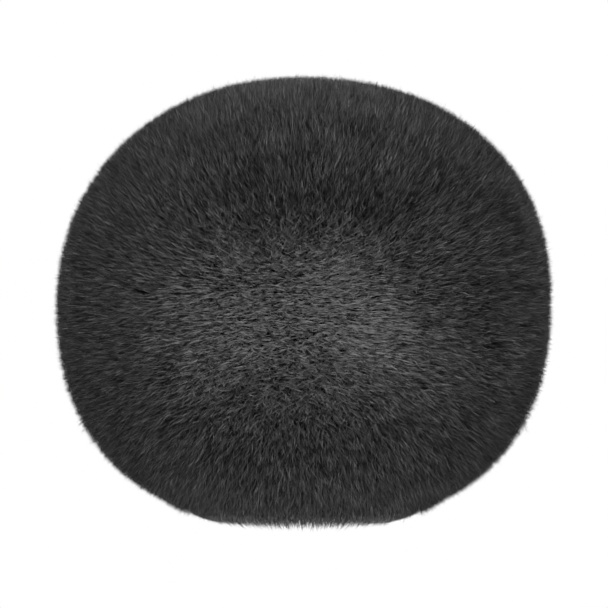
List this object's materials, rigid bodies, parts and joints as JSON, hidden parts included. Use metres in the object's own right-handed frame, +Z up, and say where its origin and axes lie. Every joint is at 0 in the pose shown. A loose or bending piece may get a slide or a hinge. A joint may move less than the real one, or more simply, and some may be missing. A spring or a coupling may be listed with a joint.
{
  "type": "furry windscreen",
  "caption": "Dark grey short-pile furry ball windscreen on a lattice ball with foam, rubber microphone boot and a zip round the back.",
  "frame": {"origin": "centre of the lower mouth of the rubber boot's microphone bore", "axes": "+Z up along the bore and the ball's axis, front towards -Y, +X to the right seen from the front"},
  "size_m": [0.11, 0.11, 0.0966],
  "materials": {
    "fur": "short dense pile, combed",
    "open_foam": "reticulated open-cell foam",
    "moulded_plastic": "fine spark-eroded texture",
    "boot_rubber": "soft matt",
    "seal_rubber": "smooth",
    "screw_steel": "zinc plated",
    "binding": "woven tape",
    "elastic": "braided",
    "zip_tape": "herringbone weave",
    "zip_teeth": "moulded acetal",
    "zip_metal": "black lacquer, worn at the edges"
  },
  "bodies": {
    "insert": {"insert_plate": "moulded_plastic", "rubber_boot": "boot_rubber", "boot_clamp_ring": "moulded_plastic", "clamp_screws": "screw_steel", "seal_ring": "seal_rubber"},
    "ball": {"basket_neck": "moulded_plastic", "lower_basket": "moulded_plastic", "upper_basket": "moulded_plastic", "lower_foam": "open_foam", "upper_foam": "open_foam", "crown_panel": "fur", "front_panel": "fur", "right_panel": "fur", "back_panel": "fur", "left_panel": "fur", "base_panel": "fur", "hem_binding": "binding", "hem_elastic": "elastic", "upper_zip_tape": "zip_tape", "lower_zip_tape": "zip_tape", "upper_zip_teeth": "zip_teeth", "lower_zip_teeth": "zip_teeth", "zip_stops": "zip_metal"},
    "slider": {"zip_slider": "zip_metal", "pull_pin": "zip_metal"},
    "pull": {"zip_pull": "zip_metal"}
  },
  "joints": [
    {"name": "ball_lift", "type": "slide", "parent": "insert", "child": "ball", "axis": [0, 0, 1], "range_m": [0, 0.07]},
    {"name": "zip_run", "type": "hinge", "parent": "ball", "child": "slider", "pos_m": [0, 0, 0.02], "axis": [0, 0, 1], "range_deg": [0, 136]},
    {"name": "pull_swing", "type": "hinge", "parent": "slider", "child": "pull", "pos_m": [0.04474, 0.01807, 0.02], "axis": [0, 0, -1], "range_deg": [0, 170]}
  ]
}
